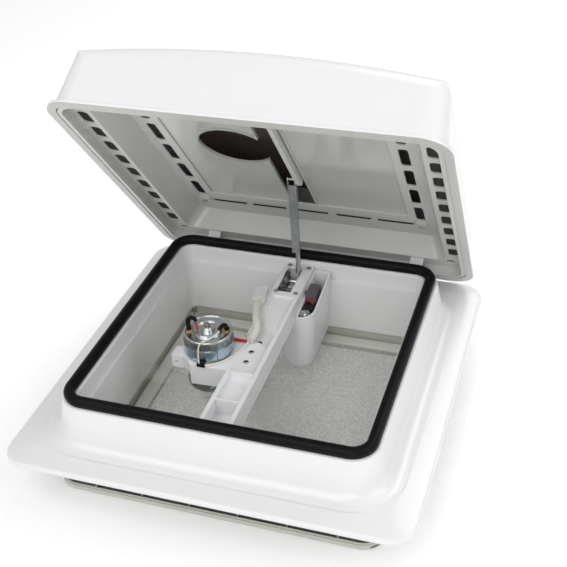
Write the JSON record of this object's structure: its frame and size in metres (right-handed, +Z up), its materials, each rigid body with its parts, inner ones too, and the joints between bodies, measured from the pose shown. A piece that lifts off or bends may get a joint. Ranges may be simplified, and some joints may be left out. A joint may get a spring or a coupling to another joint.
{
  "type": "caravan roof vent",
  "caption": "Square roof vent with a bulb-sealed collar, hinged domed lid on a geared lift arm, motor fan on a crossbeam, insect screen and ceiling trim.",
  "frame": {"origin": "centre of the roof cut-out on the roof's outer face", "axes": "+X right, +Y towards the lid hinge, +Z up out of the roof"},
  "size_m": [0.488, 0.5427, 0.4747],
  "materials": {
    "shell_white": "moulded gloss white",
    "liner_grey": "moulded satin pale grey",
    "plate_gloss": "smooth gloss pale grey",
    "lining_dark": "dark felt and mesh",
    "seal_rubber": "satin black bulb rubber",
    "garnish_white": "moulded gloss white",
    "screen_grey": "moulded grey",
    "net_grey": "coated glass yarn",
    "beam_white": "moulded gloss white",
    "arm_zinc": "zinc-plated sheet",
    "can_zinc": "zinc-plated drawn can",
    "flux_blue": "bright zinc with a blue cast",
    "phenolic_tan": "laminated board",
    "boot_black": "satin black tube",
    "bush_bronze": "sintered bronze",
    "fan_clear": "clear smoked plastic",
    "wire_white": "insulated lead",
    "wire_red": "insulated lead",
    "sleeve_cream": "braided sleeve",
    "connector_clear": "milky nylon",
    "gearbox_black": "moulded black",
    "gear_steel": "oiled steel",
    "roller_nylon": "turned nylon",
    "screw_steel": "zinc-plated"
  },
  "bodies": {
    "base": {"base_frame": "shell_white", "rim_seal": "seal_rubber", "garnish_front": "garnish_white", "garnish_rear": "garnish_white", "garnish_left": "garnish_white", "garnish_right": "garnish_white", "garnish_screws": "screw_steel", "screen_frame": "screen_grey", "screen_net": "net_grey", "crossbeam": "beam_white", "beam_screws": "screw_steel", "motor_bracket": "beam_white", "fan_motor_can": "can_zinc", "fan_motor_cap": "can_zinc", "flux_ring": "flux_blue", "brush_plates": "phenolic_tan", "terminal_boots": "boot_black", "motor_bush": "bush_bronze", "cable_clip": "boot_black", "lead_white": "wire_white", "lead_return": "wire_white", "lead_red": "wire_red", "heat_shrink": "wire_red", "wire_sleeve": "sleeve_cream", "wire_connector": "connector_clear", "lift_housing": "beam_white", "lift_motor": "can_zinc", "lift_gearbox": "gearbox_black", "lift_lead": "wire_red", "arm_pivot_pin": "screw_steel", "hinge_pins": "screw_steel"},
    "lid": {"lid_dome": "shell_white", "lid_liner": "liner_grey", "liner_plate_left": "plate_gloss", "liner_plate_right": "plate_gloss", "lift_rail": "liner_grey", "lid_lining": "lining_dark", "vent_screens": "lining_dark", "lid_hinge_arms": "shell_white", "liner_screws": "screw_steel"},
    "lift_arm": {"lift_arm": "arm_zinc", "sector_gear": "gear_steel", "rail_pin": "screw_steel"},
    "roller": {"rail_roller": "roller_nylon"},
    "lift_pinion": {"lift_pinion": "gear_steel"},
    "fan": {"fan_shaft": "screw_steel", "fan_hub": "fan_clear", "fan_blades": "fan_clear"}
  },
  "joints": [
    {"name": "lid_hinge", "type": "hinge", "parent": "base", "child": "lid", "pos_m": [0, 0.20312, 0.024], "axis": [1, 0, 0], "range_deg": [0, 51.5]},
    {"name": "arm_pivot", "type": "hinge", "parent": "base", "child": "lift_arm", "pos_m": [0, 0.144, 0.038], "axis": [1, 0, 0], "range_deg": [0, 73.93]},
    {"name": "pinion_spin", "type": "hinge", "parent": "base", "child": "lift_pinion", "pos_m": [0, 0.1231, 0.038], "axis": [1, 0, 0], "range_deg": [-245.77, 0]},
    {"name": "roller_spin", "type": "hinge", "parent": "lift_arm", "child": "roller", "pos_m": [0, 0.1498, 0.19385], "axis": [1, 0, 0], "continuous": true},
    {"name": "fan_spin", "type": "hinge", "parent": "base", "child": "fan", "pos_m": [-0.058, -0.031, 0], "axis": [0, 0, 1], "continuous": true}
  ],
  "couplings": [
    {"joint": "arm_pivot", "follows": "lid_hinge", "ratio": 1.4258},
    {"joint": "pinion_spin", "follows": "lid_hinge", "ratio": -4.7527}
  ]
}
